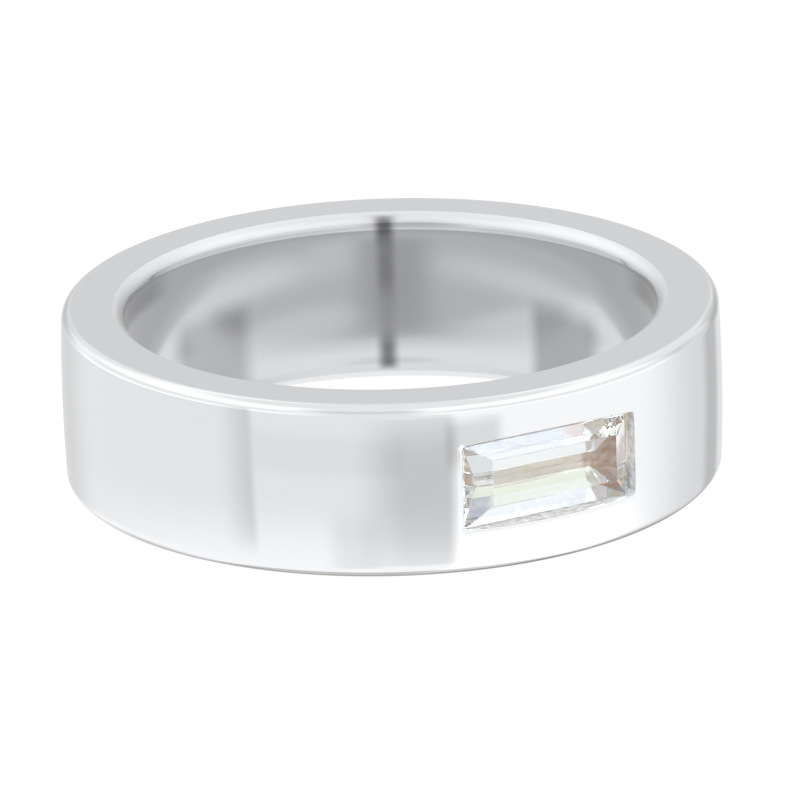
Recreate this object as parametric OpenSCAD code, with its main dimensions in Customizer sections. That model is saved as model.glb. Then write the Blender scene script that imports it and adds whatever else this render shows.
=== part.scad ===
// A polished band ring with one step-cut baguette stone set flush in its outer wall.
// The ring lies on its side: its axis is Z, its lower face is at z = 0, and the stone faces -Y.

/* [Band] */
// Inner diameter, where the finger goes
bore_d = 17.93; // [17:0.01:20]
// Width of the band along the finger
band_w = 6.05; // [5.2:0.05:7]
// Thickness of the metal from the bore to the crest of the outer wall
wall_t = 2.235; // [2.2:0.005:2.6]
// How far the outer wall swells between its two rounded edges
wall_swell = 0.06; // [0.04:0.01:0.16]
// Radius of the two outer edges
outer_edge_r = 0.38; // [0.3:0.02:0.9]
// Radius of the comfort rounding on the two inner edges
inner_edge_r = 0.72; // [0.66:0.02:0.9]
// Length of each inner rounding along the finger
inner_edge_l = 0.66; // [0.4:0.02:0.66]

/* [Stone] */
// Length of the stone along the band
stone_l = 6.16; // [5.6:0.02:6.4]
// Width of the stone across the band
stone_w = 2.82; // [2.6:0.02:3]
// Height of the crown above the girdle
crown_h = 0.45; // [0.35:0.01:0.5]
// Length of the table
table_l = 4.68; // [4.2:0.02:4.9]
// Width of the table
table_w = 1.6; // [1.4:0.02:1.8]
// How far the table sits off centre along the band
table_shift_l = 0.12; // [0:0.01:0.15]
// How far the table sits off centre across the band
table_shift_w = 0.13; // [0:0.01:0.15]
// Thickness of the girdle
girdle_t = 0.1; // [0.06:0.01:0.14]
// Depth of the pavilion below the girdle
pavilion_h = 1.2; // [1:0.05:1.25]
// How far the keel's ends lie inside the stone's ends
keel_inset = 1.13; // [1:0.01:1.3]
// Half the width of the blunt keel
keel_half_w = 0.03; // [0.02:0.01:0.05]
// How far the keel sits off centre across the band
keel_shift_w = -0.315; // [-0.33:0.005:0]

/* [Setting] */
// Depth of the girdle's upper edge below the crest of the band
girdle_depth = 0.57; // [0.5:0.01:0.6]
// Clearance between the stone and the metal
seat_gap = 0.04; // [0.03:0.01:0.06]
// Length of pocket left open beyond one end of the stone
end_gap = 0.3; // [0.1:0.02:0.34]
// Width of the ledge under the stone's edge
ledge_w = 0.26; // [0.18:0.02:0.28]
// Space left between the bottom of the well and the stone's keel
well_gap = 0.06; // [0.04:0.01:0.1]
// Radius of the pocket's corners
pocket_corner_r = 0.1; // [0.06:0.01:0.1]
// Lean of the pocket's upper wall away from the stone, in degrees
upper_wall_lean = 23; // [10:1:26]
// Lean of the softened lip at the end that the stone touches, in degrees
end_lip_lean = 45; // [30:1:50]
// Depth of that softened lip below the crest of the band
end_lip_depth = 0.72; // [0.62:0.01:0.74]

/* [Hidden] */
$fn = 240;

// Facets of the small edge circles and of the wide arc of the swell
edge_fn = 72;
swell_fn = 720;
// Extra length of each cutter beyond the metal
past = 1;
// Thickness of the cutters that make the leaning wall and the lip
cutter_t = 0.7;

bore_r = bore_d / 2;
outer_r = bore_r + wall_t;
half_w = band_w / 2;

// The swell is an arc through the crest and the two places where the edges begin
swell_half = half_w - outer_edge_r;
swell_r = (swell_half * swell_half + wall_swell * wall_swell) / (2 * wall_swell);
swell_x = outer_r - swell_r;
// Each outer edge is an arc that touches the swell and the flat side of the band
edge_x = swell_x + sqrt(pow(swell_r - outer_edge_r, 2) - swell_half * swell_half);
swell_top = swell_half * swell_r / (swell_r - outer_edge_r);
// Each inner edge is an arc that touches the bore
inner_x = bore_r + inner_edge_r;
bore_half = half_w - inner_edge_l;

// Steps of the pavilion below the girdle, down to the keel
pavilion_steps = [
    // [share of the depth, of the way in from the ends, of the way in from the sides, of the keel's shift]
    [0.675, 0.637, 0.594, 0.344],
    [0.86, 0.83, 0.765, 0.458],
    [1, 1, 1, 1],
];
function pavilion_level(step) = [
    -girdle_t - pavilion_h * step[0],
    stone_l / 2 - keel_inset * step[1],
    stone_w / 2 - (stone_w / 2 - keel_half_w) * step[2],
    0,
    keel_shift_w * step[3],
];
// Levels of the stone from the table down.
// Each row holds [height above the girdle, half length, half width, shift along, shift across].
stone_levels = concat(
    [
        [crown_h, table_l / 2, table_w / 2, table_shift_l, table_shift_w],
        [0, stone_l / 2, stone_w / 2, 0, 0],
        [-girdle_t, stone_l / 2, stone_w / 2, 0, 0],
    ],
    [for (step = pavilion_steps) pavilion_level(step)]
);
function level_corners(level) = [
    for (corner = [[-1, -1], [1, -1], [1, 1], [-1, 1]])
        [corner[0] * level[1] + level[3], corner[1] * level[2] + level[4], level[0]]
];

// The ledge lies under the first pavilion step, so its depth follows from that step's steepest side
first_step = pavilion_level(pavilion_steps[0]);
side_run = stone_w / 2 - first_step[2] - abs(first_step[4]);
end_run = stone_l / 2 - first_step[1];
step_slope = pavilion_h * pavilion_steps[0][0] / min(side_run, end_run);
ledge_depth = girdle_depth + girdle_t + ledge_w * step_slope
    + seat_gap * sqrt(1 + step_slope * step_slope);
well_depth = girdle_depth + girdle_t + pavilion_h + well_gap;

// The band's cross-section, with x as the radius and y along the finger
module band_section() {
    intersection() {
        translate([swell_x, 0]) circle(r = swell_r, $fn = swell_fn);
        translate([inner_x, -swell_top]) square([wall_t, 2 * swell_top]);
    }
    for (side = [-1, 1])
        translate([edge_x, side * swell_half]) circle(r = outer_edge_r, $fn = edge_fn);
    translate([inner_x, -half_w]) square([edge_x - inner_x, band_w]);
    translate([bore_r, -bore_half]) square([inner_edge_r, 2 * bore_half]);
    intersection() {
        for (side = [-1, 1])
            translate([inner_x, side * bore_half]) circle(r = inner_edge_r, $fn = edge_fn);
        translate([bore_r, -half_w]) square([2 * inner_edge_r, band_w]);
    }
}

// Places its children in the setting's frame: x along the band, y across it, z outwards from the crest
module at_setting() {
    translate([0, -outer_r, half_w]) rotate([90, 0, 0]) children();
}

// A rectangle from corner low to corner high with rounded corners
module rounded_rectangle(low, high, r) {
    size = high - low;
    translate(low + [r, 0]) square([size[0] - 2 * r, size[1]]);
    translate(low + [0, r]) square([size[0], size[1] - 2 * r]);
    for (x = [low[0] + r, high[0] - r], y = [low[1] + r, high[1] - r])
        translate([x, y]) circle(r = r, $fn = edge_fn);
}

// The pocket: a straight-sided hole down to the ledge, a narrower well for the pavilion,
// a leaning wall above the stone and a softened lip at the end that the stone touches
module pocket() {
    low = [-stone_l / 2 - seat_gap, -stone_w / 2 - seat_gap];
    high = [stone_l / 2 + end_gap, stone_w / 2 + seat_gap];
    well = [stone_l / 2 - ledge_w, stone_w / 2 - ledge_w];
    translate([0, 0, -ledge_depth])
        linear_extrude(height = ledge_depth + past) rounded_rectangle(low, high, pocket_corner_r);
    translate([0, 0, -well_depth])
        linear_extrude(height = well_depth) rounded_rectangle(-well, well, pocket_corner_r);
    translate([low[0] + pocket_corner_r, high[1], -girdle_depth])
        rotate([-upper_wall_lean, 0, 0])
            translate([0, -cutter_t, 0])
                cube([high[0] - low[0] - 2 * pocket_corner_r, cutter_t, girdle_depth + past]);
    translate([low[0], low[1] + pocket_corner_r, -end_lip_depth])
        rotate([0, -end_lip_lean, 0])
            cube([cutter_t, high[1] - low[1] - 2 * pocket_corner_r, girdle_depth + past]);
}

module band() {
    color([0.86, 0.87, 0.89])
        difference() {
            translate([0, 0, half_w]) rotate_extrude() band_section();
            at_setting() pocket();
        }
}

// A step-cut baguette: rings of four corners from the table down to the keel
module stone() {
    corners = [for (level = stone_levels) each level_corners(level)];
    last = len(stone_levels) - 1;
    sides = [
        for (ring = [0:last - 1], i = [0:3])
            [4 * ring + i, 4 * ring + (i + 1) % 4, 4 * ring + 4 + (i + 1) % 4, 4 * ring + 4 + i]
    ];
    table = [3, 2, 1, 0];
    keel = [4 * last, 4 * last + 1, 4 * last + 2, 4 * last + 3];
    color([0.84, 0.92, 0.96, 0.7])
        at_setting()
            translate([0, 0, -girdle_depth])
                polyhedron(points = corners, faces = concat([table, keel], sides));
}

band();
stone();
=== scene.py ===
"""Looks of a polished band ring with a baguette topaz set flush in its outer wall.

The ring lies on its side round the Z axis, with the stone facing -Y. All lengths in the
classes are millimetres, and meshes are brought to metres when they are finished.
"""

import logging
import math
from dataclasses import dataclass, field
from enum import IntEnum
from functools import partial
from typing import Callable

import bmesh
import bpy
from mathutils import Matrix, Vector


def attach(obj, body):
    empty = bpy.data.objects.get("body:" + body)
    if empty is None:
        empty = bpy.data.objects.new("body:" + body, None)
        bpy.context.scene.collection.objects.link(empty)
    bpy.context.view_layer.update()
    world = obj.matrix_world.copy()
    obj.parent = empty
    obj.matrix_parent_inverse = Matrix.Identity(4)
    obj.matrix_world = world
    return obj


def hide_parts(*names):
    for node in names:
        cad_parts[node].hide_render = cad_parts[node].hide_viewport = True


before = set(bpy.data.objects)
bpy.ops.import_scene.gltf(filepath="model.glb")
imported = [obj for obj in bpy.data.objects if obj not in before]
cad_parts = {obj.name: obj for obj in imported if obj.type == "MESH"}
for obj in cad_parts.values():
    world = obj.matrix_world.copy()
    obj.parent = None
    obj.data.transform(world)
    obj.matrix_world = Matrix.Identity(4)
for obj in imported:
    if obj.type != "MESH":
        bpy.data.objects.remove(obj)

MM = 0.001
PHOTO_SIDE = 800
SENSOR_MM = 36.0
HALF_TURN = 180
# Edges that bend less than this are shaded smooth
SMOOTH_DEGREES = 18
# Light turns many corners between the facets and the pocket before it comes out again
MAX_BOUNCES = 32
GLOSSY_BOUNCES = 24
TRANSMISSION_BOUNCES = 24

log = logging.getLogger("band_ring")

Socket = bpy.types.NodeSocket
Colour = tuple[float, float, float, float]


def srgb(code: str) -> Colour:
    """Turns an sRGB hex colour into the linear colour that a shader socket takes.

    Args:
        code: The colour as "#RRGGBB".

    Returns:
        Linear red, green, blue and an alpha of 1.
    """
    shares = [int(code[i:i + 2], 16) / 255 for i in (1, 3, 5)]
    linear = [s / 12.92 if s <= 0.04045 else ((s + 0.055) / 1.055) ** 2.4 for s in shares]
    return (linear[0], linear[1], linear[2], 1.0)


def lit(level: float, tint: str = "#FFFFFF") -> Colour:
    """Gives light of one level its colour.

    Args:
        level: The light's level, which is 1 for the plain room.
        tint: The sRGB hex colour that the light has at level 1.

    Returns:
        The light's linear colour.
    """
    red, green, blue, alpha = srgb(tint)
    return (level * red, level * green, level * blue, alpha)


def add_node(tree: bpy.types.NodeTree, kind: str, inputs: tuple | dict = (),
             out: int | str = 0, **settings: str | bool) -> Socket | None:
    """Adds a node with its settings, and sets or links its inputs.

    Args:
        tree: The node tree that gets the node.
        kind: The node's type, such as "ShaderNodeMath".
        inputs: Values or output sockets to link, in order or by the input's name or number.
        out: Name or number of the output that the caller goes on with.
        settings: Values of the node's own attributes.

    Returns:
        The output's socket, or None if the node has no output.
    """
    node = tree.nodes.new(kind)
    for name, value in settings.items():
        setattr(node, name, value)
    for name, value in inputs.items() if isinstance(inputs, dict) else enumerate(inputs):
        if isinstance(value, Socket):
            tree.links.new(value, node.inputs[name])
        else:
            node.inputs[name].default_value = value
    return node.outputs[out] if node.outputs else None


@dataclass(frozen=True)
class Span:
    """A stretch of values with soft ends, such as headings, heights or lengths."""

    low: float
    high: float
    soft_low: float = 1.0
    soft_high: float = 1.0

    def mask(self, tree: bpy.types.NodeTree, value: Socket) -> Socket:
        """Adds a mask that is 1 inside the stretch and falls smoothly to 0 outside it.

        Args:
            tree: The node tree that gets the mask.
            value: The value that is tested.

        Returns:
            The mask's socket.
        """
        ends = [add_node(tree, "ShaderNodeMapRange", {
            "Value": value, "From Min": end - soft / 2, "From Max": end + soft / 2,
            "To Min": outside, "To Max": 1.0 - outside}, interpolation_type="SMOOTHSTEP")
            for end, soft, outside in ((self.low, self.soft_low, 0.0),
                                       (self.high, self.soft_high, 1.0))]
        return add_node(tree, "ShaderNodeMath", tuple(ends), operation="MULTIPLY")


def new_tree(name: str) -> tuple[bpy.types.Material, bpy.types.NodeTree]:
    """Makes a material with an empty node tree.

    Args:
        name: The material's name.

    Returns:
        The material and its tree.
    """
    made = bpy.data.materials.new(name)
    made.use_nodes = True
    made.node_tree.nodes.clear()
    return made, made.node_tree


@dataclass(frozen=True)
class RhodiumPlate:
    """Sterling silver under white rhodium: a cool, slightly grey mirror with faint waves."""

    name: str
    roughness: float
    colour: str = "#E3E4E6"
    # Polishing waves, about as far apart as a felt buff leaves them
    wave_mm: float = 2.4
    wave_height_mm: float = 0.0006
    wave_detail: float = 1.0
    wave_roughness: float = 0.4

    def material(self) -> bpy.types.Material:
        """Builds the plated metal."""
        made, tree = new_tree(self.name)
        place = add_node(tree, "ShaderNodeTexCoord", out="Object")
        waves = add_node(tree, "ShaderNodeTexNoise", {
            "Vector": place, "Scale": 1 / (self.wave_mm * MM), "Detail": self.wave_detail,
            "Roughness": self.wave_roughness})
        bump = add_node(tree, "ShaderNodeBump", {
            "Height": waves, "Distance": self.wave_height_mm * MM, "Strength": 1.0})
        metal = add_node(tree, "ShaderNodeBsdfPrincipled", {
            "Base Color": srgb(self.colour), "Metallic": 1.0, "Roughness": self.roughness,
            "Normal": bump})
        add_node(tree, "ShaderNodeOutputMaterial", {"Surface": metal})
        return made


@dataclass(frozen=True)
class CutSilver:
    """Silver that a graver has cut and nobody has buffed: pale, satin and finely uneven."""

    name: str
    light: str
    dark: str
    roughness: float
    metallic: float = 0.9
    # Patches left by single cuts of the graver, drawn coarse enough to show
    blotch_mm: float = 0.22
    blotch_detail: float = 3.0
    blotch_roughness: float = 0.6
    # The noise's values from which the cut is fully dark and fully light
    dark_from: float = 0.35
    light_from: float = 0.65
    bump_mm: float = 0.012
    bump_strength: float = 0.6

    def tone(self, tree: bpy.types.NodeTree, place: Socket, blotches: Socket) -> Socket:
        """Mixes the light and dark patches of the cut.

        Args:
            tree: The material's tree.
            place: The place on the piece, in millimetres. Not used here.
            blotches: Share of the light patches, from 0 to 1.

        Returns:
            The colour's socket.
        """
        return add_node(tree, "ShaderNodeMix", {
            "Factor": blotches, "A": srgb(self.dark), "B": srgb(self.light)}, "Result",
            data_type="RGBA")

    def material(self) -> bpy.types.Material:
        """Builds the cut metal."""
        made, tree = new_tree(self.name)
        place = add_node(tree, "ShaderNodeVectorMath", {
            0: add_node(tree, "ShaderNodeTexCoord", out="Object"), "Scale": 1 / MM},
            operation="SCALE")
        grain = add_node(tree, "ShaderNodeTexNoise", {
            "Vector": place, "Scale": 1 / self.blotch_mm, "Detail": self.blotch_detail,
            "Roughness": self.blotch_roughness})
        blotches = add_node(tree, "ShaderNodeMapRange", {
            "Value": grain, "From Min": self.dark_from, "From Max": self.light_from})
        bump = add_node(tree, "ShaderNodeBump", {
            "Height": grain, "Distance": self.bump_mm * MM, "Strength": self.bump_strength})
        metal = add_node(tree, "ShaderNodeBsdfPrincipled", {
            "Base Color": self.tone(tree, place, blotches), "Metallic": self.metallic,
            "Roughness": self.roughness, "Normal": bump})
        add_node(tree, "ShaderNodeOutputMaterial", {"Surface": metal})
        return made


@dataclass(frozen=True)
class SeatSilver(CutSilver):
    """The cut metal under the stone: warm and pale, but cold and greyer low down.

    A brown film of polishing paste and tarnish sits in the well near both ends.
    """

    cold: str = "#AAACB5"
    stain: str = "#BC9274"
    # Share of the film that is worn off the light patches of the cut
    stain_wear: float = 0.55
    # The cold part's upper end, from the lower face of the band
    cold_side: Span = Span(-10.0, 2.45, 1.0, 0.3)
    left_stain: Span = Span(-2.7, -1.85, 0.1, 0.4)
    right_stain: Span = Span(1.75, 2.7, 0.3, 0.1)

    def tone(self, tree: bpy.types.NodeTree, place: Socket, blotches: Socket) -> Socket:
        """Mixes the cut's patches with the cold side and the brown film.

        Args:
            tree: The material's tree.
            place: The place on the piece, in millimetres.
            blotches: Share of the light patches, from 0 to 1.

        Returns:
            The colour's socket.
        """
        clean = super().tone(tree, place, blotches)
        across = add_node(tree, "ShaderNodeSeparateXYZ", {"Vector": place}, "X")
        height = add_node(tree, "ShaderNodeSeparateXYZ", {"Vector": place}, "Z")
        sided = add_node(tree, "ShaderNodeMix", {
            "Factor": self.cold_side.mask(tree, height), "A": clean, "B": srgb(self.cold)},
            "Result", data_type="RGBA")
        near_ends = add_node(tree, "ShaderNodeMath", (
            self.left_stain.mask(tree, across), self.right_stain.mask(tree, across)),
            operation="ADD")
        patchy = add_node(tree, "ShaderNodeMath", (blotches, -self.stain_wear, 1.0),
                          operation="MULTIPLY_ADD")
        film = add_node(tree, "ShaderNodeMath", (near_ends, patchy), operation="MULTIPLY")
        return add_node(tree, "ShaderNodeMix", {
            "Factor": film, "A": sided, "B": srgb(self.stain)}, "Result", data_type="RGBA")


@dataclass(frozen=True)
class WhiteTopaz:
    """Colourless topaz with polished facets: a clear stone with a faint ice tint."""

    name: str = "white_topaz_polished"
    colour: str = "#FAFDFF"
    ior: float = 1.62

    def material(self) -> bpy.types.Material:
        """Builds the clear stone."""
        made, tree = new_tree(self.name)
        stone = add_node(tree, "ShaderNodeBsdfPrincipled", {
            "Base Color": srgb(self.colour), "Roughness": 0.0, "IOR": self.ior,
            "Transmission Weight": 1.0})
        add_node(tree, "ShaderNodeOutputMaterial", {"Surface": stone})
        return made


def finish_piece(name: str, mesh: bmesh.types.BMesh, materials: list[bpy.types.Material],
                 smooth: bool) -> bpy.types.Object:
    """Turns a mesh in millimetres into an object in metres at the origin.

    Args:
        name: The piece's name.
        mesh: The mesh, which is freed.
        materials: The piece's materials, in the order of its faces' material numbers.
        smooth: Whether faces are shaded smooth, apart from sharp edges.

    Returns:
        The new object.
    """
    bmesh.ops.recalc_face_normals(mesh, faces=mesh.faces)
    bmesh.ops.scale(mesh, vec=(MM, MM, MM), verts=mesh.verts)
    data = bpy.data.meshes.new(name)
    mesh.to_mesh(data)
    mesh.free()
    for material in materials:
        data.materials.append(material)
    if smooth:
        data.shade_smooth()
        data.set_sharp_from_angle(angle=math.radians(SMOOTH_DEGREES))
    piece = bpy.data.objects.new(name, data)
    bpy.context.scene.collection.objects.link(piece)
    return piece


class SectionPen:
    """Draws a cross-section in the XZ plane, one line or arc after another."""

    def __init__(self, mesh: bmesh.types.BMesh, x: float, z: float) -> None:
        """Starts the section at one point.

        Args:
            mesh: The mesh that the section is drawn in.
            x: Radius of the first point.
            z: Height of the first point.
        """
        self.mesh = mesh
        self.tip = bmesh.ops.create_vert(mesh, co=(x, 0, z))["vert"][0]

    def line(self, x: float, z: float, pieces: int) -> None:
        """Draws a straight line to a point.

        Args:
            x: Radius of the line's end.
            z: Height of the line's end.
            pieces: Number of edges along the line.
        """
        step = (Vector((x, 0, z)) - self.tip.co) / pieces
        for _ in range(pieces):
            made = bmesh.ops.extrude_vert_indiv(self.mesh, verts=[self.tip])
            self.tip = made["verts"][0]
            bmesh.ops.translate(self.mesh, verts=[self.tip], vec=step)

    def arc(self, x: float, z: float, angle: float, pieces: int) -> None:
        """Draws an arc, clockwise as seen with X to the right and Z up.

        Args:
            x: Radius of the arc's centre.
            z: Height of the arc's centre.
            angle: Angle of the arc, in radians.
            pieces: Number of edges along the arc.
        """
        made = bmesh.ops.spin(self.mesh, geom=[self.tip], cent=(x, 0, z), axis=(0, 1, 0),
                              dvec=(0, 0, 0), angle=angle, steps=pieces, use_duplicate=False)
        self.tip = next(g for g in made["geom_last"] if isinstance(g, bmesh.types.BMVert))


@dataclass(frozen=True)
class Outline:
    """A rectangle with round corners, across the setting: x along the band, y along the finger."""

    left: float
    right: float
    bottom: float
    top: float
    corner_r: float

    def at(self, across: float, up: float) -> tuple[Vector, Vector]:
        """Finds the outline's point for a point on the edge of the square from -1 to 1.

        Args:
            across: Place on the square along the band, from -1 to 1.
            up: Place on the square along the finger, from -1 to 1.

        Returns:
            The point on the outline, and the direction straight out of the outline there.
        """
        x = self.left + (self.right - self.left) * (across + 1) / 2
        y = self.bottom + (self.top - self.bottom) * (up + 1) / 2
        core = Vector((min(max(x, self.left + self.corner_r), self.right - self.corner_r),
                       min(max(y, self.bottom + self.corner_r), self.top - self.corner_r)))
        out = (Vector((x, y)) - core).normalized()
        return core + out * self.corner_r, out


@dataclass(frozen=True)
class Lip:
    """Softened edge along one side of the pocket.

    The straight share is 0 for a quarter round and 1 for a straight slope.
    """

    width: float
    depth: float
    straight: float = 0.0

    def at(self, share: float) -> tuple[float, float]:
        """Finds a point of the lip's profile.

        Args:
            share: Share of the way from the outer wall to the pocket's wall.

        Returns:
            Distance out from the pocket's wall and depth below the outer wall.
        """
        turn = share * math.pi / 2
        out = (1 - self.straight) * (1 - math.sin(turn)) + self.straight * (1 - share)
        down = (1 - self.straight) * (1 - math.cos(turn)) + self.straight * share
        return self.width * out, self.depth * down


@dataclass
class Baguette:
    """The step-cut stone, in the setting's frame: z = 0 is the girdle's upper edge."""

    length: float = 6.16
    width: float = 2.82
    crown_h: float = 0.45
    table_l: float = 4.68
    table_w: float = 1.6
    table_shift: tuple[float, float] = (0.12, 0.13)
    girdle_t: float = 0.1
    pavilion_h: float = 1.2
    keel_inset: float = 1.13
    keel_half_w: float = 0.03
    keel_shift_w: float = -0.315
    # For each step: share of the depth, of the way in from the ends, of the way in from the
    # sides, and of the keel's shift
    steps: tuple[tuple[float, float, float, float], ...] = (
        (0.675, 0.637, 0.594, 0.344), (0.86, 0.83, 0.765, 0.458), (1.0, 1.0, 1.0, 1.0))
    # Width of the polish along each facet edge
    edge_polish: float = 0.008
    finish: WhiteTopaz = field(default_factory=WhiteTopaz)

    def first_slope(self) -> float:
        """Returns the steepest slope of the pavilion's first step."""
        depth, from_ends, from_sides, shift = self.steps[0]
        side_run = (self.width / 2 - self.keel_half_w) * from_sides - abs(self.keel_shift_w * shift)
        return self.pavilion_h * depth / min(side_run, self.keel_inset * from_ends)

    def levels(self) -> list[Matrix]:
        """Lists the stone's levels from the table down.

        Returns:
            For each level, the matrix that brings the square from -1 to 1 to its outline.
        """
        half_l = self.length / 2
        half_w = self.width / 2
        rows = [
            (self.crown_h, self.table_l / 2, self.table_w / 2, *self.table_shift),
            (0, half_l, half_w, 0, 0),
            (-self.girdle_t, half_l, half_w, 0, 0),
        ]
        for depth, from_ends, from_sides, shift in self.steps:
            rows.append((-self.girdle_t - self.pavilion_h * depth,
                         half_l - self.keel_inset * from_ends,
                         half_w - (half_w - self.keel_half_w) * from_sides,
                         0, self.keel_shift_w * shift))
        return [Matrix.Translation((x, y, z)) @ Matrix.Diagonal((across, up, 1, 1))
                for z, across, up, x, y in rows]

    def build(self, setting: Matrix) -> bpy.types.Object:
        """Cuts the stone and puts it in the setting.

        Args:
            setting: Brings the girdle's frame to the ring's frame.

        Returns:
            The stone's object.
        """
        mesh = bmesh.new()
        bmesh.ops.create_grid(mesh, x_segments=1, y_segments=1, size=1)
        levels = self.levels()
        bmesh.ops.transform(mesh, matrix=levels[0], verts=mesh.verts)
        edges = mesh.edges[:]
        for above, level in zip(levels, levels[1:]):
            made = bmesh.ops.extrude_edge_only(mesh, edges=edges)["geom"]
            edges = [g for g in made if isinstance(g, bmesh.types.BMEdge)]
            bmesh.ops.transform(mesh, matrix=level @ above.inverted(),
                                verts=[g for g in made if isinstance(g, bmesh.types.BMVert)])
        bmesh.ops.edgeloop_fill(mesh, edges=edges)
        bmesh.ops.bevel(mesh, geom=mesh.edges, offset=self.edge_polish, segments=1,
                        affect="EDGES", profile=0.5, material=-1)
        bmesh.ops.transform(mesh, matrix=setting, verts=mesh.verts)
        return finish_piece("stone_cut", mesh, [self.finish.material()], smooth=False)


class Face(IntEnum):
    """The band's kinds of surface, as the numbers of their materials."""

    OUTSIDE = 0
    INNER_EDGE = 1
    INSIDE = 2
    POCKET_WALL = 3
    UPPER_LIP = 4
    SEAT = 5


@dataclass
class Band:
    """The metal band: a spun section with the stone's pocket let into it."""

    stone: Baguette
    bore_r: float = 8.965
    width: float = 6.05
    wall: float = 2.235
    swell: float = 0.06
    outer_edge_r: float = 0.38
    inner_edge_r: float = 0.72
    inner_edge_l: float = 0.66
    # How far the bore's buffing, with its plate darkened as painted shade, reaches out on to its
    # rounded edges
    buffed_and_shaded: float = 0.1
    columns: int = 720
    # Edges of the section along the bore, an inner edge, a flat side, an outer edge and the wall
    bore_rows: int = 10
    inner_edge_rows: int = 9
    flat_rows: int = 4
    outer_edge_rows: int = 12
    swell_rows: int = 40
    # Ends of the section's lines and arcs that lie closer than this become one
    weld: float = 0.001
    # The part of the outer wall that is woven round the pocket, in columns and rows
    window_columns: int = 42
    window_rows: int = 17
    # Place on the window, from -1 to 1, from which a vertex belongs to its upper side
    upper_side: float = 0.999
    girdle_depth: float = 0.57
    seat_gap: float = 0.04
    end_gap: float = 0.3
    ledge_w: float = 0.26
    well_gap: float = 0.06
    corner_r: float = 0.1
    left_lip: Lip = Lip(0.24, 0.2)
    right_lip: Lip = Lip(0.06, 0.06)
    bottom_lip: Lip = Lip(0.06, 0.06)
    top_lip: Lip = Lip(0.24, 0.57, 0.85)
    lip_steps: int = 8
    weave_steps: int = 8
    finishes: dict[Face, RhodiumPlate | CutSilver] = field(default_factory=lambda: {
        Face.OUTSIDE: RhodiumPlate("rhodium_plated_silver_mirror", 0.04),
        Face.INNER_EDGE: RhodiumPlate("rhodium_plated_silver_rounded", 0.34),
        # The bore's plate has a rougher buff, and its darker colour is painted shade
        Face.INSIDE: RhodiumPlate("rhodium_plated_silver_buffed", 0.13, "#D3D4D6"),
        Face.POCKET_WALL: CutSilver("silver_bright_cut", "#FDFEFF", "#C9CACC", 0.5, 0.15),
        Face.UPPER_LIP: CutSilver("silver_upper_lip", "#E2D9CD", "#C4B3A2", 0.45, 0.5),
        Face.SEAT: SeatSilver("silver_seat_as_cut", "#FFF2E2", "#FAE9D6", 0.55, 0.2),
    })

    def __post_init__(self) -> None:
        """Works out the section's centres, the window and the pocket from the sizes."""
        self.outer_r = self.bore_r + self.wall
        self.half_w = self.width / 2
        self.swell_half = self.half_w - self.outer_edge_r
        self.swell_r = (self.swell_half ** 2 + self.swell ** 2) / (2 * self.swell)
        self.swell_x = self.outer_r - self.swell_r
        reach = self.swell_r - self.outer_edge_r
        self.edge_x = self.swell_x + math.sqrt(reach ** 2 - self.swell_half ** 2)
        self.swell_angle = math.asin(self.swell_half / reach)
        self.inner_x = self.bore_r + self.inner_edge_r
        self.bore_half = self.half_w - self.inner_edge_l
        self.inner_angle = math.asin(self.inner_edge_l / self.inner_edge_r)
        self.flat_x = self.inner_x - self.inner_edge_r * math.cos(self.inner_angle)
        self.window_angle = 2 * math.pi * self.window_columns / self.columns
        row_angle = self.swell_angle * 2 * self.window_rows / self.swell_rows
        self.window_h = self.swell_r * math.sin(row_angle)
        half_l = self.stone.length / 2
        half_w = self.stone.width / 2
        self.pocket = Outline(-half_l - self.seat_gap, half_l + self.end_gap,
                              -half_w - self.seat_gap, half_w + self.seat_gap, self.corner_r)
        self.well = Outline(-half_l + self.ledge_w, half_l - self.ledge_w,
                            -half_w + self.ledge_w, half_w - self.ledge_w, self.corner_r)
        slope = self.stone.first_slope()
        self.ledge_depth = (self.girdle_depth + self.stone.girdle_t + self.ledge_w * slope
                            + self.seat_gap * math.sqrt(1 + slope ** 2))
        self.well_depth = (self.girdle_depth + self.stone.girdle_t + self.stone.pavilion_h
                           + self.well_gap)

    def surface(self, x: float, y: float, depth: float = 0.0) -> Vector:
        """Finds a point under the outer wall, straight in from a point on it.

        Args:
            x: Place along the band, across the setting.
            y: Place along the finger, from the band's middle.
            depth: Distance below the outer wall.

        Returns:
            The point in the section's frame, with z = 0 at the band's middle.
        """
        radius = self.swell_x + math.sqrt(self.swell_r ** 2 - y * y)
        return Vector((x, depth - math.sqrt(radius * radius - x * x), y))

    def draw_section(self, mesh: bmesh.types.BMesh) -> None:
        """Draws the band's section, starting at the lower end of the bore.

        Args:
            mesh: The mesh that gets the section.
        """
        edge_angle = math.pi / 2 - self.swell_angle
        pen = SectionPen(mesh, self.bore_r, -self.bore_half)
        pen.line(self.bore_r, self.bore_half, self.bore_rows)
        pen.arc(self.inner_x, self.bore_half, self.inner_angle, self.inner_edge_rows)
        pen.line(self.edge_x, self.half_w, self.flat_rows)
        pen.arc(self.edge_x, self.swell_half, edge_angle, self.outer_edge_rows)
        pen.arc(self.swell_x, 0, 2 * self.swell_angle, self.swell_rows)
        pen.arc(self.edge_x, -self.swell_half, edge_angle, self.outer_edge_rows)
        pen.line(self.flat_x, -self.half_w, self.flat_rows)
        pen.arc(self.inner_x, -self.bore_half, self.inner_angle, self.inner_edge_rows)
        bmesh.ops.remove_doubles(mesh, verts=mesh.verts, dist=self.weld)

    def window_place(self, point: Vector) -> tuple[float, float]:
        """Returns a point's place on the window along the band and the finger, from -1 to 1."""
        return (math.atan2(point.x, -point.y) / self.window_angle, point.z / self.window_h)

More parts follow.
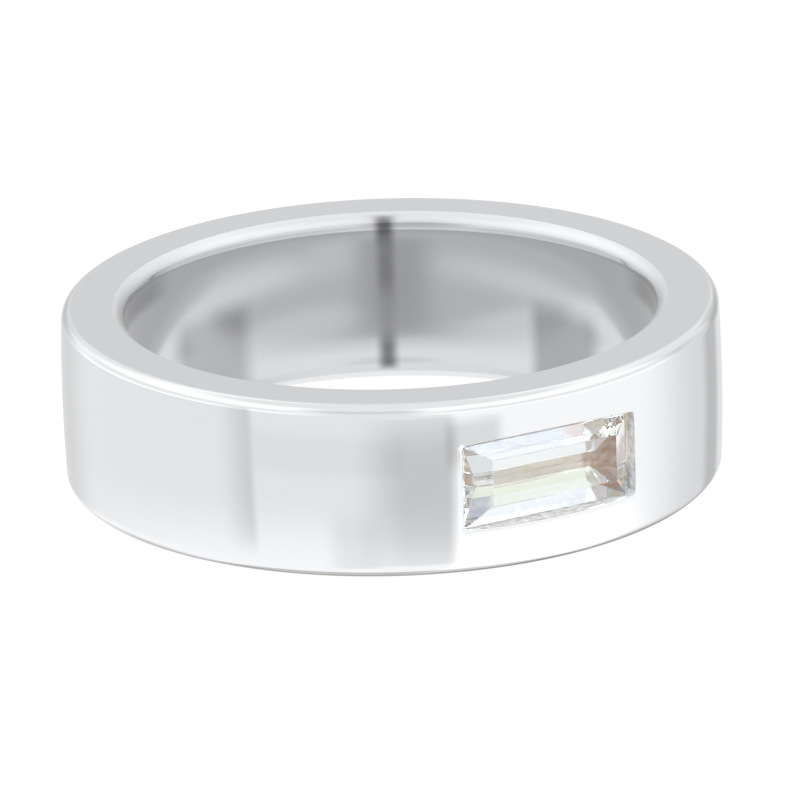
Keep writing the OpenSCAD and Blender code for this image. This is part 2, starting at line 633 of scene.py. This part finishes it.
    def open_window(self, mesh: bmesh.types.BMesh) -> list[bmesh.types.BMEdge]:
        """Takes the faces round the setting out of the outer wall.

        Args:
            mesh: The spun band, whose vertices on the window's edge get their place on it.

        Returns:
            The edges round the window.
        """
        inside = []
        for face in mesh.faces:
            middle = face.calc_center_median()
            across, up = self.window_place(middle)
            if abs(across) < 1 and abs(up) < 1 and middle.xy.length > self.inner_x:
                inside.append(face)
        bmesh.ops.delete(mesh, geom=inside, context="FACES")
        window = mesh.verts.layers.float_vector.new("window")
        edges = [edge for edge in mesh.edges if edge.is_boundary]
        for vert in {vert for edge in edges for vert in edge.verts}:
            vert[window] = Vector((*self.window_place(vert.co), 0))
        return edges

    def lip_at(self, out: Vector, surface_depth: float) -> Lip:
        """Mixes the four sides' lips for one place round the pocket.

        Args:
            out: Direction straight out of the pocket's outline there.
            surface_depth: How far the outer wall lies below its crest there.

        Returns:
            The lip there, no deeper than the girdle's upper edge.
        """
        shares = [(self.left_lip, min(out.x, 0) ** 2), (self.right_lip, max(out.x, 0) ** 2),
                  (self.bottom_lip, min(out.y, 0) ** 2), (self.top_lip, max(out.y, 0) ** 2)]
        width = sum(lip.width * share for lip, share in shares)
        depth = sum(lip.depth * share for lip, share in shares)
        straight = sum(lip.straight * share for lip, share in shares)
        kept = min(1.0, (self.girdle_depth - surface_depth) / depth)
        return Lip(width * kept, depth * kept, straight)

    def on_lip(self, across: float, up: float, share: float) -> Vector:
        """Finds a point on the lip round the pocket.

        Args:
            across: Place on the window along the band, from -1 to 1.
            up: Place on the window along the finger, from -1 to 1.
            share: Share of the way from the outer wall to the pocket's wall.

        Returns:
            The point in the section's frame.
        """
        point, out = self.pocket.at(across, up)
        sag = self.outer_r + self.surface(point.x, point.y).y
        back, down = self.lip_at(out, sag).at(share)
        spot = point + out * back
        return self.surface(spot.x, spot.y, down)

    def in_weave(self, across: float, up: float, share: float) -> Vector:
        """Finds a point on the outer wall between the window's edge and the lip.

        Args:
            across: Place on the window along the band, from -1 to 1.
            up: Place on the window along the finger, from -1 to 1.
            share: Share of the way from the window's edge to the lip.

        Returns:
            The point in the section's frame.
        """
        edge = self.surface(self.outer_r * math.sin(across * self.window_angle),
                            up * self.window_h)
        lip = self.on_lip(across, up, 0)
        return self.surface(*edge.lerp(lip, share).xz)

    def at_depth(self, across: float, up: float, outline: Outline, depth: float) -> Vector:
        """Returns an outline's point for a place on the window, at a depth below the crest."""
        point, _ = outline.at(across, up)
        return Vector((point.x, depth - self.outer_r, point.y))

    def next_ring(self, mesh: bmesh.types.BMesh, edges: list[bmesh.types.BMEdge],
                  place: Callable[[float, float], Vector], kind: Face,
                  upper_kind: Face | None = None) -> list[bmesh.types.BMEdge]:
        """Extrudes the last ring of edges, and puts the new ring in its place.

        Args:
            mesh: The band with its window open.
            edges: The last ring of edges.
            place: Finds a new vertex's point from its place on the window.
            kind: Kind of surface of the new faces.
            upper_kind: Their kind along the window's upper side, where it differs.

        Returns:
            The new ring of edges.
        """
        window = mesh.verts.layers.float_vector["window"]
        made = bmesh.ops.extrude_edge_only(mesh, edges=edges)["geom"]
        for vert in (g for g in made if isinstance(g, bmesh.types.BMVert)):
            vert.co = place(vert[window].x, vert[window].y)
        ring = [g for g in made if isinstance(g, bmesh.types.BMEdge)]
        for face in {face for edge in ring for face in edge.link_faces}:
            upper = all(vert[window].y > self.upper_side for vert in face.verts)
            face.material_index = upper_kind if upper and upper_kind is not None else kind
        return ring

    def sink_pocket(self, mesh: bmesh.types.BMesh, edges: list[bmesh.types.BMEdge]) -> None:
        """Weaves the outer wall in to the pocket, then sinks its lip, wall, ledge and well.

        Args:
            mesh: The band with its window open.
            edges: The edges round the window.
        """
        for step in range(1, self.weave_steps + 1):
            place = partial(self.in_weave, share=step / self.weave_steps)
            edges = self.next_ring(mesh, edges, place, Face.OUTSIDE)
        for step in range(1, self.lip_steps + 1):
            place = partial(self.on_lip, share=step / self.lip_steps)
            edges = self.next_ring(mesh, edges, place, Face.OUTSIDE, Face.UPPER_LIP)
        for outline, depth, kind in ((self.pocket, self.ledge_depth, Face.POCKET_WALL),
                                     (self.well, self.ledge_depth, Face.SEAT),
                                     (self.well, self.well_depth, Face.SEAT)):
            place = partial(self.at_depth, outline=outline, depth=depth)
            edges = self.next_ring(mesh, edges, place, kind)
        for face in bmesh.ops.edgeloop_fill(mesh, edges=edges)["faces"]:
            face.material_index = Face.SEAT

    def build(self) -> bpy.types.Object:
        """Spins the band and lets the pocket into it.

        Returns:
            The band's object.
        """
        mesh = bmesh.new()
        self.draw_section(mesh)
        bmesh.ops.spin(mesh, geom=mesh.verts[:] + mesh.edges[:], cent=(0, 0, 0), axis=(0, 0, 1),
                       dvec=(0, 0, 0), angle=2 * math.pi, steps=self.columns, use_merge=True,
                       use_duplicate=False)
        for face in mesh.faces:
            radius = face.calc_center_median().xy.length
            if radius < self.flat_x:
                # The bore and a strip of its rounded edges get the rougher buff, and their plate is
                # darkened as painted shade
                buffed_and_shaded = radius < self.bore_r + self.buffed_and_shaded
                face.material_index = Face.INSIDE if buffed_and_shaded else Face.INNER_EDGE
        self.sink_pocket(mesh, self.open_window(mesh))
        bmesh.ops.translate(mesh, verts=mesh.verts, vec=(0, 0, self.half_w))
        materials = [self.finishes[kind].material() for kind in Face]
        return finish_piece("band_polished", mesh, materials, smooth=True)

    def setting(self) -> Matrix:
        """Returns the matrix that brings the girdle's frame to the ring's frame."""
        out = Matrix.Rotation(math.pi / 2, 4, "X")
        return Matrix.Translation((0, self.girdle_depth - self.outer_r, self.half_w)) @ out


# Every heading and every elevation, in degrees
ALL_ROUND = Span(-200, 200)
ALL_HEIGHTS = Span(-100, 100)


@dataclass(frozen=True)
class Panel:
    """One soft-edged panel that brightens or shades a part of the room.

    It spans headings in degrees to the right of the camera, and elevations in degrees
    above the horizon. Its level multiplies the light that is there.
    """

    name: str
    across: Span
    up: Span
    level: float
    tint: str = "#FFFFFF"

    def mask(self, tree: bpy.types.NodeTree, heading: Socket, elevation: Socket) -> Socket:
        """Adds a mask that is 1 inside the panel and falls smoothly to 0 outside it.

        Args:
            tree: The world's tree.
            heading: Where a ray goes, in degrees to the right of the camera.
            elevation: How steeply it rises, in degrees.

        Returns:
            The mask's socket.
        """
        middle = (self.across.low + self.across.high) / 2
        turned = add_node(tree, "ShaderNodeMath", (
            heading, middle + HALF_TURN, middle - HALF_TURN), operation="WRAP")
        return add_node(tree, "ShaderNodeMath", (
            self.across.mask(tree, turned), self.up.mask(tree, elevation)),
            operation="MULTIPLY")


@dataclass(frozen=True)
class Spot:
    """One soft-edged oval of light or shade on the table inside the ring.

    Its centre is given in millimetres right of the ring's axis and away from the camera.
    """

    name: str
    right: float
    away: float
    half_width: float
    half_depth: float
    softness: float
    level: float

    def mask(self, tree: bpy.types.NodeTree, place: Socket) -> Socket:
        """Adds a mask that is 1 inside the oval and falls smoothly to 0 outside it.

        Args:
            tree: The tree of the table's material.
            place: The place on the table, with its x to the right and y away from the camera.

        Returns:
            The mask's socket.
        """
        centred = add_node(tree, "ShaderNodeVectorMath", (
            place, (self.right, self.away, 0.0)), operation="SUBTRACT")
        scaled = add_node(tree, "ShaderNodeVectorMath", (
            centred, (self.half_width, self.half_depth, 1.0)), operation="DIVIDE")
        reach = add_node(tree, "ShaderNodeVectorMath", (scaled,), "Value", operation="LENGTH")
        return Span(-1, 1, self.softness, self.softness).mask(tree, reach)


@dataclass(frozen=True)
class Shade:
    """One soft-edged patch of the card inside the ring that dims what shines through it.

    It spans angles in degrees to the right of straight away from the camera, and heights
    in millimetres.
    """

    name: str
    across: Span
    up: Span
    level: float

    def mask(self, tree: bpy.types.NodeTree, angle: Socket, height: Socket) -> Socket:
        """Adds a mask that is 1 inside the patch and falls smoothly to 0 outside it.

        Args:
            tree: The tree of the card's material.
            angle: The place's angle to the right of straight away, in degrees.
            height: The place's height, in millimetres.

        Returns:
            The mask's socket.
        """
        return add_node(tree, "ShaderNodeMath", (
            self.across.mask(tree, angle), self.up.mask(tree, height)), operation="MULTIPLY")


@dataclass
class Studio:
    """The pale table, the soft light round the ring, and the camera at the photo's angle."""

    camera_heading: float = -28.0
    camera_elevation: float = 19.16
    camera_roll: float = 1.65
    camera_distance: float = 358.4
    focal_mm: float = 475.2
    ring_pixel: tuple[float, float] = (392.23, 382.4)
    target_height: float = 3.025
    clip_m: tuple[float, float] = (0.01, 10.0)
    # What the polished metal mirrors
    room_level: float = 1.0
    room: tuple[Panel, ...] = (
        Panel("back_wall", Span(168, 192, 14, 14), Span(11, 25, 6, 5), 0.79),
        Panel("back_foot", Span(136, 224, 26, 26), Span(-4, 11, 12, 6), 0.79),
        Panel("ceiling", ALL_ROUND, Span(44, 110, 24, 1), 1.27),
        Panel("left_softbox", Span(-140, -30, 30, 30), Span(-10, 44, 2, 24), 1.29),
        Panel("right_softbox", Span(11, 110, 16, 16), Span(-10, 44, 2, 24), 1.29),
        Panel("left_wall", Span(-130, -36, 24, 14), Span(1, 22, 6, 8), 0.82),
        Panel("right_wall", Span(14, 130, 14, 24), Span(1, 22, 6, 8), 0.82),
        Panel("ceiling_gap", Span(-34, 8, 16, 16), Span(20, 58, 20, 12), 0.82),
        Panel("ceiling_top", ALL_ROUND, Span(58, 110, 12, 1), 0.8),
        Panel("ceiling_far_end", Span(170, 190, 10, 10), Span(25, 62, 5, 8), 0.83),
        Panel("left_edge_line", Span(-57, -50.3, 16, 3.5), Span(-23.5, 4, 2.5, 6), 0.765),
        Panel("front_dip", Span(-50, 3, 4, 4), Span(-18.5, -15.7), 0.94),
        Panel("near_table", Span(-200, 95, 1, 20), Span(-100, -22.6, 1, 5.5), 1.2),
        Panel("ring_shadow", ALL_ROUND, Span(-100, -60, 1, 10), 0.6, "#FFFCF8"),
        Panel("table_behind", Span(115, 245, 40, 40), Span(-66, -36, 8, 20), 0.62),
        Panel("front_shade", Span(-6, 21, 22, 6), Span(-25.5, -14.9, 6, 5), 0.72),
        Panel("shade_foot", Span(-22, -6, 10, 10), Span(-28, -21.5, 3, 3), 0.86),
        Panel("shade_tail", Span(18, 37, 4, 6), Span(-18, -14.8, 2, 1), 0.76),
        Panel("right_board", Span(20, 108, 5, 40), Span(-100, -10, 1, 2), 1.2),
        Panel("right_fall", Span(120, 175, 44, 10), Span(-100, 0, 1, 10), 0.84),
        Panel("far_right_flag", Span(141, 157, 10, 8), Span(-100, 0, 1, 10), 0.72),
        Panel("far_left_flag", Span(-182, -143, 1, 34), Span(-100, 0, 1, 10), 0.78),
        Panel("right_corner", Span(143, 163, 10, 10), Span(0, 22, 10, 8), 0.78),
        Panel("left_corner", Span(-166, -152, 8, 10), Span(0, 22, 10, 8), 0.85),
    )
    # What shines through the stone: a brighter room, for the light that its facets turn back
    glow_level: float = 1.03
    glow_tint: str = "#F6FAFF"
    glow: tuple[Panel, ...] = (
        Panel("lamp", ALL_ROUND, Span(40, 100, 6, 1), 11.0),
        Panel("left_lamp", Span(-90, -30, 10, 8), ALL_HEIGHTS, 2.8),
        Panel("low_lamp", ALL_ROUND, Span(-100, -32, 1, 8), 2.8),
        Panel("warm_ceiling", ALL_ROUND, Span(6, 20, 5, 3), 1.0, "#FDFAF4"),
        Panel("green_ceiling", ALL_ROUND, Span(20, 36, 3, 4), 0.96, "#F9FBE4"),
        Panel("green_table", ALL_ROUND, Span(-100, -11, 1, 3), 0.98, "#FBFEEC"),
        Panel("right_end", Span(72, 100, 6, 6), Span(4, 21, 4, 3), 0.87, "#F9FCFF"),
        Panel("left_end", Span(-30, 48, 6, 6), Span(4, 30, 4, 4), 0.61, "#FFF5F0"),
    )
    # A lamp that only matte metal shows, such as the cut walls of the pocket
    key_elevation: float = 55.0
    key_strength: float = 1.2
    key_angle: float = 20.0
    # The pale table, a hair under the ring so that no faces meet
    sweep_reach: float = 3000.0
    sweep_depth: float = 0.02
    sweep_level: float = 1.02
    # What the wall of the bore mirrors in place of itself
    card_r: float = 8.93
    card_level: float = 0.577
    card_foot: Span = Span(-1, 0.7, 1, 0.8)
    card_foot_level: float = 0.67
    # The card shines up to the height of the wall, and only shades above it
    card_lit_h: float = 5.9
    card_h: float = 8.5
    # Edges round the card, and round the table inside the ring
    circle_edges: int = 96
    shades: tuple[Shade, ...] = (
        # The first four shades paint the camera's dark reflection as a streak down the far side of
        # the bore
        Shade("camera_streak", Span(-2.4, 0.9, 3, 3), Span(-1, 5.3, 1, 1), 0.85),
        Shade("seam_middle", Span(-2.4, 0.9, 2.4, 2.4), Span(3.3, 4.9, 1.2, 1), 0.72),
        Shade("seam_foot", Span(-2.4, 1, 3, 3), Span(0.4, 1.6, 0.5, 0.9), 0.36),
        Shade("seam_top", Span(-2.6, 1, 2.6, 2.6), Span(5.1, 10, 1.0, 1), 0.26),
        Shade("rim", ALL_ROUND, Span(5.55, 5.95, 0.2, 0.8), 0.78),
        Shade("left_rim", Span(-125, -60, 40, 12), Span(4.8, 5.6, 0.5, 0.6), 0.7),
        Shade("right_rim", Span(68, 125, 12, 40), Span(4.8, 5.6, 0.5, 0.6), 0.7),
        Shade("left_block", Span(-54.6, -33.3, 8, 6), Span(-1.4, 3.4, 1.5, 1), 0.66),
        Shade("right_block", Span(33.3, 51.6, 4.5, 7), Span(-0.4, 3.1, 0.1, 1.1), 0.58),
    )
    # What the inside of the ring mirrors of the table, in place of the pale sweep
    table_level: float = 0.623
    table_r: float = 9.75
    table_depth: float = 0.01
    spots: tuple[Spot, ...] = (
        Spot("near_right", 4.3, -6.1, 2.7, 3.1, 0.9, 0.76),
        Spot("near_left", -4.3, -0.6, 1.75, 3.6, 0.93, 0.71),
        Spot("light_ring", 0.2, 2.2, 7.0, 6.4, 0.3, 0.9),
        Spot("right_ring", 6.0, 2.8, 1.8, 4.5, 1.05, 0.97),
        Spot("ring_middle", 0.3, 1.8, 4.7, 5.7, 0.45, 0.65),
        Spot("left_fan", -1.8, 4.2, 1.45, 1.2, 0.73, 0.87),
        Spot("right_fan", 1.3, 2.8, 1.1, 1.9, 0.89, 0.82),
        Spot("fan_top", 0.2, 4.8, 1.3, 0.8, 0.87, 0.87),
        Spot("far_foot", 0.2, 6.9, 4.45, 1.6, 0.83, 1.09),
        Spot("foot_dip", 0.0, 7.6, 1.0, 0.8, 0.94, 0.86),
        Spot("far_rim", 0.0, 9.5, 8.0, 2.0, 0.7, 1.06),
    )
    # The shade that the camera casts into the ring: a wedge that opens towards the camera
    wedge_apex_away: float = 4.57
    wedge: Span = Span(-16.6, 12.8, 15, 14.5)
    wedge_level: float = 0.49
    core: Span = Span(-3.3, 1.4, 3.7, 6.3)
    core_level: float = 0.45

    def axes(self) -> tuple[Vector, Vector]:
        """Returns the level directions towards the camera and to its right."""
        turn = math.radians(self.camera_heading)
        return (Vector((math.sin(turn), -math.cos(turn), 0)),
                Vector((math.cos(turn), math.sin(turn), 0)))

    def build_camera(self) -> None:
        """Places the camera, and shifts its view so that the ring sits where the photo has it."""
        towards, _ = self.axes()
        rise = math.radians(self.camera_elevation)
        back = towards * math.cos(rise) + Vector((0, 0, math.sin(rise)))
        camera = bpy.data.objects.new("camera", bpy.data.cameras.new("camera"))
        bpy.context.scene.collection.objects.link(camera)
        camera.data.lens = self.focal_mm
        camera.data.sensor_width = SENSOR_MM
        half = PHOTO_SIDE / 2
        camera.data.shift_x = (half - self.ring_pixel[0]) / PHOTO_SIDE
        camera.data.shift_y = (self.ring_pixel[1] - half) / PHOTO_SIDE
        camera.data.clip_start, camera.data.clip_end = self.clip_m
        place = (back * self.camera_distance + Vector((0, 0, self.target_height))) * MM
        level = (-back).to_track_quat("-Z", "Y").to_matrix().to_4x4()
        roll = Matrix.Rotation(math.radians(-self.camera_roll), 4, "Z")
        camera.matrix_world = Matrix.Translation(place) @ level @ roll
        bpy.context.scene.camera = camera

    def hang_panels(self, tree: bpy.types.NodeTree, light: Colour,
                    panels: tuple[Panel, ...]) -> Socket:
        """Adds panels to a plain room.

        Args:
            tree: The world's tree.
            light: The plain room's colour.
            panels: The panels, each of which multiplies what is behind it.

        Returns:
            The room's colour.
        """
        towards, right = self.axes()
        ray = add_node(tree, "ShaderNodeTexCoord", out="Generated")
        ahead, aside, height = (
            add_node(tree, "ShaderNodeVectorMath", (ray, axis), "Value", operation="DOT_PRODUCT")
            for axis in (towards, right, Vector((0, 0, 1))))
        turn = add_node(tree, "ShaderNodeMath", (aside, ahead), operation="ARCTAN2")
        rise = add_node(tree, "ShaderNodeMath", (height,), operation="ARCSINE")
        heading, elevation = (
            add_node(tree, "ShaderNodeMath", (angle,), operation="DEGREES")
            for angle in (turn, rise))
        for panel in panels:
            light = add_node(tree, "ShaderNodeMix", {
                "Factor": panel.mask(tree, heading, elevation), "A": light,
                "B": lit(panel.level, panel.tint)}, "Result", data_type="RGBA",
                blend_type="MULTIPLY", label=panel.name)
        return light

    def build_world(self) -> None:
        """Lights the ring from all round, with one room for the metal and one for the stone."""
        world = bpy.data.worlds.new("studio")
        bpy.context.scene.world = world
        world.use_nodes = True
        tree = world.node_tree
        tree.nodes.clear()
        room = self.hang_panels(tree, lit(self.room_level), self.room)
        glow = self.hang_panels(tree, lit(self.glow_level, self.glow_tint), self.glow)
        through = add_node(tree, "ShaderNodeLightPath", out="Is Transmission Ray")
        light = add_node(tree, "ShaderNodeMix", {"Factor": through, "A": room, "B": glow},
                         "Result", data_type="RGBA")
        background = add_node(tree, "ShaderNodeBackground", {"Color": light})
        add_node(tree, "ShaderNodeOutputWorld", {"Surface": background})

    def build_key(self) -> None:
        """Hangs the lamp over the camera that brings out the matte walls of the pocket."""
        towards, _ = self.axes()
        rise = math.radians(self.key_elevation)
        lamp = bpy.data.objects.new("key", bpy.data.lights.new("key", "SUN"))
        bpy.context.scene.collection.objects.link(lamp)
        lamp.data.energy = self.key_strength
        lamp.data.angle = math.radians(self.key_angle)
        source = towards * math.cos(rise) + Vector((0, 0, math.sin(rise)))
        lamp.rotation_euler = (-source).to_track_quat("-Z", "Y").to_euler()
        lamp.visible_glossy = False
        lamp.visible_transmission = False

    def build_table(self) -> None:
        """Lays the pale table, whose light the band mirrors from the panels instead."""
        mesh = bmesh.new()
        bmesh.ops.create_grid(mesh, x_segments=1, y_segments=1, size=self.sweep_reach)
        bmesh.ops.translate(mesh, verts=mesh.verts, vec=(0, 0, -self.sweep_depth))
        material, tree = new_tree("white_sweep")
        paper = add_node(tree, "ShaderNodeEmission", {"Strength": self.sweep_level})
        add_node(tree, "ShaderNodeOutputMaterial", {"Surface": paper})
        table = finish_piece("table", mesh, [material], smooth=False)
        table.visible_glossy = False
        table.visible_transmission = False

    def plan(self, tree: bpy.types.NodeTree) -> tuple[Socket, Socket]:
        """Adds a place's distances from the ring's axis, seen from above, in millimetres.

        Args:
            tree: The tree of a material on a stage object.

        Returns:
            The distance to the right and the distance away from the camera.
        """
        place = add_node(tree, "ShaderNodeTexCoord", out="Object")
        towards, right = self.axes()
        across, away = (
            add_node(tree, "ShaderNodeVectorMath", (place, axis / MM), "Value",
                     operation="DOT_PRODUCT") for axis in (right, -towards))
        return across, away

    def build_inner_table(self) -> None:
        """Lays the part of the table inside the ring, where the band shades and lights it."""
        mesh = bmesh.new()
        bmesh.ops.create_circle(mesh, cap_ends=True, segments=self.circle_edges,
                                radius=self.table_r)
        bmesh.ops.translate(mesh, verts=mesh.verts, vec=(0, 0, -self.table_depth))
        material, tree = new_tree("table_inside_ring")
        across, away = self.plan(tree)
        place = add_node(tree, "ShaderNodeCombineXYZ", (across, away))
        nearer = add_node(tree, "ShaderNodeMath", (self.wedge_apex_away, away),
                          operation="SUBTRACT")
        turn = add_node(tree, "ShaderNodeMath", (across, nearer), operation="ARCTAN2")
        angle = add_node(tree, "ShaderNodeMath", (turn,), operation="DEGREES")
        layers = [(spot.mask(tree, place), spot.level, spot.name) for spot in self.spots]
        layers.append((self.wedge.mask(tree, angle), self.wedge_level, "wedge"))
        layers.append((self.core.mask(tree, angle), self.core_level, "core"))
        level: float | Socket = self.table_level
        for mask, value, name in layers:
            level = add_node(tree, "ShaderNodeMix", {"Factor": mask, "A": level, "B": value},
                             "Result", label=name)
        paper = add_node(tree, "ShaderNodeEmission", {"Strength": level})
        add_node(tree, "ShaderNodeOutputMaterial", {"Surface": paper})
        table = finish_piece("table_inside_ring", mesh, [material], smooth=False)
        table.visible_camera = False

    def build_inner_card(self) -> None:
        """Stands a card just inside the bore that shines inwards and lets light in.

        The wall of the bore sees it from outside, as a clear sheet with the shades on it.
        """
        mesh = bmesh.new()
        bmesh.ops.create_circle(mesh, segments=self.circle_edges, radius=self.card_r)
        made = bmesh.ops.extrude_edge_only(mesh, edges=mesh.edges)["geom"]
        bmesh.ops.translate(mesh, verts=[g for g in made if isinstance(g, bmesh.types.BMVert)],
                            vec=(0, 0, self.card_h))
        material, tree = new_tree("card_inside_ring")
        place = add_node(tree, "ShaderNodeVectorMath", {
            0: add_node(tree, "ShaderNodeTexCoord", out="Object"), "Scale": 1 / MM},
            operation="SCALE")
        height = add_node(tree, "ShaderNodeSeparateXYZ", (place,), "Z")
        turn = add_node(tree, "ShaderNodeMath", self.plan(tree), operation="ARCTAN2")
        angle = add_node(tree, "ShaderNodeMath", (turn,), operation="DEGREES")
        level = add_node(tree, "ShaderNodeMix", {
            "Factor": self.card_foot.mask(tree, height), "A": self.card_level,
            "B": self.card_foot_level}, "Result")
        paper = add_node(tree, "ShaderNodeEmission", {"Strength": level})
        dimmed: float | Socket = 1.0
        for shade in self.shades:
            share = add_node(tree, "ShaderNodeMath", (
                shade.mask(tree, angle, height), shade.level - 1, 1.0),
                operation="MULTIPLY_ADD")
            dimmed = add_node(tree, "ShaderNodeMath", (dimmed, share), operation="MULTIPLY",
                              label=shade.name)
        clear = add_node(tree, "ShaderNodeBsdfTransparent", {"Color": dimmed})
        from_inside = add_node(tree, "ShaderNodeNewGeometry", out="Backfacing")
        below = add_node(tree, "ShaderNodeMath", (height, self.card_lit_h),
                         operation="LESS_THAN")
        shines = add_node(tree, "ShaderNodeMath", (from_inside, below), operation="MULTIPLY")
        card = add_node(tree, "ShaderNodeMixShader", (shines, clear, paper))
        add_node(tree, "ShaderNodeOutputMaterial", {"Surface": card})
        piece = finish_piece("card_inside_ring", mesh, [material], smooth=True)
        piece.visible_camera = False
        piece.visible_shadow = False


def main() -> None:
    """Builds the ring and its studio."""
    logging.basicConfig(level=logging.INFO, format="%(message)s")
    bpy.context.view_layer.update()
    studio = Studio()
    studio.build_camera()
    studio.build_world()
    studio.build_key()
    studio.build_table()
    studio.build_inner_table()
    studio.build_inner_card()
    stone = Baguette()
    band = Band(stone)
    for piece, node, slot in ((band.build(), "band", "polished_silver"),
                              (stone.build(band.setting()), "stone", "clear_topaz")):
        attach(piece, "root")
        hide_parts(node)
        log.info("%s: %d faces", piece.name, len(piece.data.polygons))
    scene = bpy.context.scene
    scene.view_settings.view_transform = "Standard"
    scene.cycles.max_bounces = MAX_BOUNCES
    scene.cycles.glossy_bounces = GLOSSY_BOUNCES
    scene.cycles.transmission_bounces = TRANSMISSION_BOUNCES


if __name__ == "__main__":
    main()
